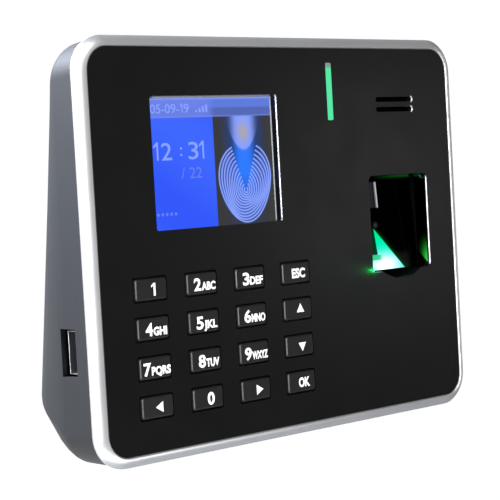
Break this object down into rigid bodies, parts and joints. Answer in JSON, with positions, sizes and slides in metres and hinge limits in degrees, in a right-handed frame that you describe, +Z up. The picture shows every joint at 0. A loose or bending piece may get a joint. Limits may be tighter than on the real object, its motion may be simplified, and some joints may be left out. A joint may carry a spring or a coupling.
{
  "type": "fingerprint scanner terminal",
  "caption": "Wedge-shaped wall terminal with a display, a keypad, a recessed fingerprint glass and a silver rim round a black face.",
  "frame": {"origin": "centre of the wall plate's screw pattern, on the plate's wall side", "axes": "+Z up, +Y into the wall, +X to the right as seen from the front; the face looks along -Y and leans back by 9 degrees"},
  "size_m": [0.18, 0.0383, 0.1387],
  "materials": {
    "silver_paint": "bright silver paint on moulded ABS",
    "panel_black": "black moulded face, satin gloss",
    "shell_grey": "fine spark-eroded texture, dark grey",
    "zinc_steel": "zinc plated",
    "black_screw": "black oxide",
    "display": "backlit display glass",
    "diffuser": "moulded acrylic",
    "flex": "polyimide",
    "light_green": "diffusing acrylic, lit green",
    "led_resin": "clear resin",
    "board_green": "solder mask on glass epoxy",
    "moulded_black": "moulded black",
    "cone_paper": "pressed paper",
    "cloth_black": "woven dust cloth",
    "sensor_glass": "polished, lit green",
    "mat_rubber": "moulded silicone",
    "key_rubber": "moulded silicone, satin",
    "white_plastic": "moulded nylon",
    "terminal_green": "moulded nylon",
    "relay_blue": "moulded",
    "can_blue": "sleeved can",
    "reset_orange": "moulded",
    "label_silver": "blank foil label"
  },
  "bodies": {
    "terminal": {"front_frame": "silver_paint", "front_panel": "panel_black", "rear_shell": "shell_grey", "wall_plate": "zinc_steel", "lock_screw": "zinc_steel", "case_screws": "black_screw", "board_screws": "zinc_steel", "keypad_screws": "zinc_steel", "lcd_glass": "display", "lcd_frame": "zinc_steel", "backlight": "diffuser", "lcd_ribbon": "flex", "light_bar": "light_green", "status_leds": "led_resin", "led_board": "board_green", "speaker_body": "moulded_black", "speaker_cone": "cone_paper", "speaker_cloth": "cloth_black", "sensor_well": "moulded_black", "prism": "sensor_glass", "sensor_leds": "light_green", "sensor_board": "board_green", "camera_lens": "moulded_black", "camera_board": "board_green", "sensor_ribbon": "flex", "keypad_mat": "mat_rubber", "keypad_board": "board_green", "main_board": "board_green", "processor": "moulded_black", "memory_chips": "moulded_black", "usb_shell": "zinc_steel", "usb_tongue": "white_plastic", "network_jack": "zinc_steel", "power_jack": "moulded_black", "wire_terminal": "terminal_green", "door_relay": "relay_blue", "clock_battery": "zinc_steel", "capacitors": "can_blue", "tamper_switch": "moulded_black", "reset_switch": "moulded_black", "rating_label": "label_silver"},
    "key_1": {"key_1": "key_rubber"},
    "key_2": {"key_2": "key_rubber"},
    "key_3": {"key_3": "key_rubber"},
    "key_escape": {"key_escape": "key_rubber"},
    "key_4": {"key_4": "key_rubber"},
    "key_5": {"key_5": "key_rubber"},
    "key_6": {"key_6": "key_rubber"},
    "key_up": {"key_up": "key_rubber"},
    "key_7": {"key_7": "key_rubber"},
    "key_8": {"key_8": "key_rubber"},
    "key_9": {"key_9": "key_rubber"},
    "key_down": {"key_down": "key_rubber"},
    "key_left": {"key_left": "key_rubber"},
    "key_0": {"key_0": "key_rubber"},
    "key_right": {"key_right": "key_rubber"},
    "key_confirm": {"key_confirm": "key_rubber"},
    "tamper_plunger": {"tamper_plunger": "white_plastic"},
    "reset_button": {"reset_button": "reset_orange"}
  },
  "joints": [
    {"name": "key_1_press", "type": "slide", "parent": "terminal", "child": "key_1", "axis": [0, 0.9877, -0.1564], "range_m": [0, 0.0006], "stiffness_N_per_m": 1500},
    {"name": "key_2_press", "type": "slide", "parent": "terminal", "child": "key_2", "axis": [0, 0.9877, -0.1564], "range_m": [0, 0.0006], "stiffness_N_per_m": 1500},
    {"name": "key_3_press", "type": "slide", "parent": "terminal", "child": "key_3", "axis": [0, 0.9877, -0.1564], "range_m": [0, 0.0006], "stiffness_N_per_m": 1500},
    {"name": "key_escape_press", "type": "slide", "parent": "terminal", "child": "key_escape", "axis": [0, 0.9877, -0.1564], "range_m": [0, 0.0006], "stiffness_N_per_m": 1500},
    {"name": "key_4_press", "type": "slide", "parent": "terminal", "child": "key_4", "axis": [0, 0.9877, -0.1564], "range_m": [0, 0.0006], "stiffness_N_per_m": 1500},
    {"name": "key_5_press", "type": "slide", "parent": "terminal", "child": "key_5", "axis": [0, 0.9877, -0.1564], "range_m": [0, 0.0006], "stiffness_N_per_m": 1500},
    {"name": "key_6_press", "type": "slide", "parent": "terminal", "child": "key_6", "axis": [0, 0.9877, -0.1564], "range_m": [0, 0.0006], "stiffness_N_per_m": 1500},
    {"name": "key_up_press", "type": "slide", "parent": "terminal", "child": "key_up", "axis": [0, 0.9877, -0.1564], "range_m": [0, 0.0006], "stiffness_N_per_m": 1500},
    {"name": "key_7_press", "type": "slide", "parent": "terminal", "child": "key_7", "axis": [0, 0.9877, -0.1564], "range_m": [0, 0.0006], "stiffness_N_per_m": 1500},
    {"name": "key_8_press", "type": "slide", "parent": "terminal", "child": "key_8", "axis": [0, 0.9877, -0.1564], "range_m": [0, 0.0006], "stiffness_N_per_m": 1500},
    {"name": "key_9_press", "type": "slide", "parent": "terminal", "child": "key_9", "axis": [0, 0.9877, -0.1564], "range_m": [0, 0.0006], "stiffness_N_per_m": 1500},
    {"name": "key_down_press", "type": "slide", "parent": "terminal", "child": "key_down", "axis": [0, 0.9877, -0.1564], "range_m": [0, 0.0006], "stiffness_N_per_m": 1500},
    {"name": "key_left_press", "type": "slide", "parent": "terminal", "child": "key_left", "axis": [0, 0.9877, -0.1564], "range_m": [0, 0.0006], "stiffness_N_per_m": 1500},
    {"name": "key_0_press", "type": "slide", "parent": "terminal", "child": "key_0", "axis": [0, 0.9877, -0.1564], "range_m": [0, 0.0006], "stiffness_N_per_m": 1500},
    {"name": "key_right_press", "type": "slide", "parent": "terminal", "child": "key_right", "axis": [0, 0.9877, -0.1564], "range_m": [0, 0.0006], "stiffness_N_per_m": 1500},
    {"name": "key_confirm_press", "type": "slide", "parent": "terminal", "child": "key_confirm", "axis": [0, 0.9877, -0.1564], "range_m": [0, 0.0006], "stiffness_N_per_m": 1500},
    {"name": "tamper_press", "type": "slide", "parent": "terminal", "child": "tamper_plunger", "axis": [0, -0.9877, 0.1564], "range_m": [0, 0.0015], "stiffness_N_per_m": 300},
    {"name": "reset_press", "type": "slide", "parent": "terminal", "child": "reset_button", "axis": [0, -0.9877, 0.1564], "range_m": [0, 0.0004], "stiffness_N_per_m": 1500}
  ]
}
